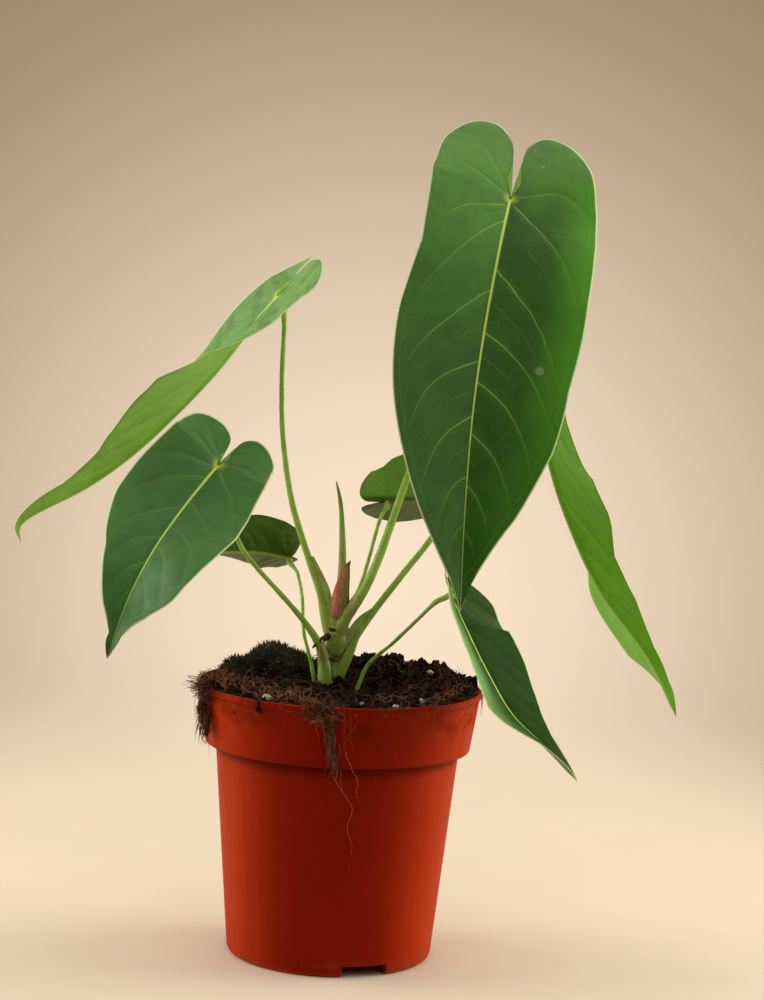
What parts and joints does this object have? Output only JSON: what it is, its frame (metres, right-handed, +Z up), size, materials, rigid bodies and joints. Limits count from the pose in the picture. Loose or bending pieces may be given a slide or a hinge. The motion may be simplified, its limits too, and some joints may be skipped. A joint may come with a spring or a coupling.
{
  "type": "potted anthurium queremalense",
  "caption": "Young aroid with long velvety heart-shaped leaves on thin petioles, rooted in peat in a tapered plastic nursery pot.",
  "frame": {"origin": "centre of the pot's underside, on the flat pad that stands on the surface", "axes": "+Z up along the pot's axis, -Y towards the side that the largest leaf faces, +X to the right as seen from there"},
  "size_m": [0.2889, 0.1593, 0.3558],
  "materials": {
    "pot": "satin",
    "soil": "matte",
    "moss": "matte",
    "stem": "satin",
    "aerial_root": "matte",
    "sheath": "satin",
    "young_leaf": "satin",
    "petiole": "satin",
    "blade": "velvety"
  },
  "bodies": {
    "root": {"pot": "pot", "soil": "soil", "moss": "moss", "stem": "stem", "aerial_root": "aerial_root", "sheath": "sheath", "young_leaf": "young_leaf", "petiole_front": "petiole", "petiole_left_high": "petiole", "petiole_left_low": "petiole", "petiole_left_back": "petiole", "petiole_right_back": "petiole", "petiole_right_low": "petiole", "petiole_right_high": "petiole", "blade_front": "blade", "blade_left_high": "blade", "blade_left_low": "blade", "blade_left_back": "blade", "blade_right_back": "blade", "blade_right_low": "blade", "blade_right_high": "blade"}
  },
  "joints": []
}
